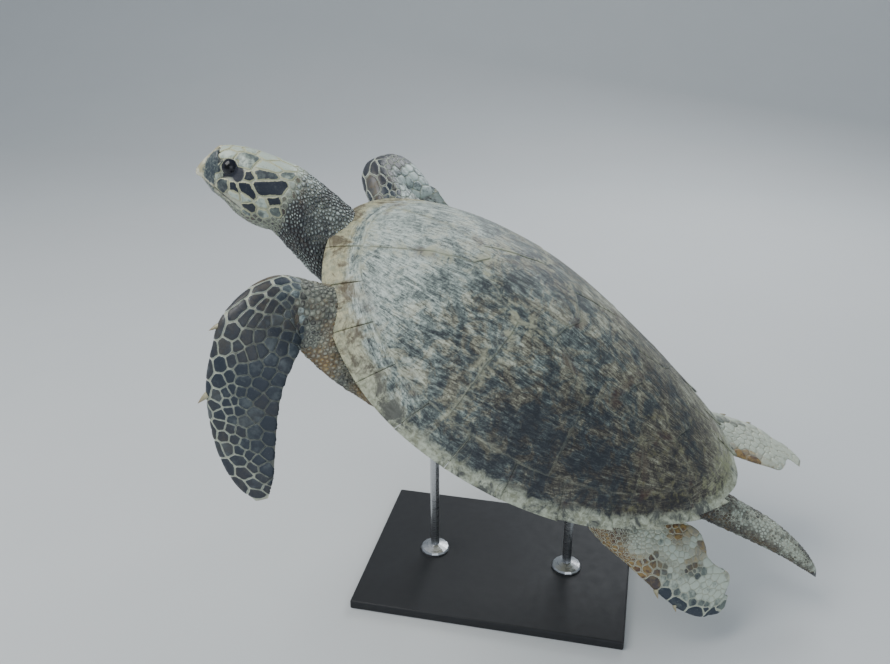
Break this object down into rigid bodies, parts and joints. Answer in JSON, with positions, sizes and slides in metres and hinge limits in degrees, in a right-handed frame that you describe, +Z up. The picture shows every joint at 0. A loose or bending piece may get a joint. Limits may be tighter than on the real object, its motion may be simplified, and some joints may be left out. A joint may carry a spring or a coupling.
{
  "type": "hawksbill sea turtle model",
  "caption": "Life-size still model of a hawksbill sea turtle gliding nose up, with hooked beak, domed scute shell, flippers and long tail, on a plain display stand.",
  "frame": {"origin": "centre of the stand base's underside", "axes": "+Z up, -Y the way the turtle heads, +X its left side"},
  "size_m": [0.7148, 1.0347, 0.752],
  "materials": {
    "scutes": "worn horn, grey green and brown, thinly overgrown",
    "marginals": "worn horn with a cream edge",
    "plastron": "pale cream horn",
    "soft_skin": "grainy skin, dark grey with pale flecks",
    "scaled_skin": "dark plates with cream seams",
    "beak": "pale cream and grey horn",
    "eyes": "wet black",
    "claws": "pale horn, black at the tail's tip",
    "stand_base": "satin black",
    "stand_rods": "brushed"
  },
  "bodies": {
    "root": {"nuchal": "scutes", "vertebral_1": "scutes", "vertebral_2": "scutes", "vertebral_3": "scutes", "vertebral_4": "scutes", "vertebral_5": "scutes", "costal_left_1": "scutes", "costal_left_2": "scutes", "costal_left_3": "scutes", "costal_left_4": "scutes", "costal_right_1": "scutes", "costal_right_2": "scutes", "costal_right_3": "scutes", "costal_right_4": "scutes", "marginals_left": "marginals", "marginals_right": "marginals", "plastron": "plastron", "trunk": "soft_skin", "neck": "soft_skin", "head": "scaled_skin", "beak_upper": "beak", "beak_lower": "beak", "eye_left": "eyes", "eye_right": "eyes", "tail": "scaled_skin", "tail_nail": "claws", "front_arm_left": "scaled_skin", "front_arm_right": "scaled_skin", "front_flipper_left": "scaled_skin", "front_flipper_right": "scaled_skin", "front_claw_left_1": "claws", "front_claw_left_2": "claws", "front_claw_right_1": "claws", "front_claw_right_2": "claws", "hind_thigh_left": "scaled_skin", "hind_thigh_right": "scaled_skin", "hind_flipper_left": "scaled_skin", "hind_flipper_right": "scaled_skin", "hind_claw_left_1": "claws", "hind_claw_left_2": "claws", "hind_claw_right_1": "claws", "hind_claw_right_2": "claws", "stand_base": "stand_base", "stand_rod_front": "stand_rods", "stand_rod_rear": "stand_rods"}
  },
  "joints": []
}
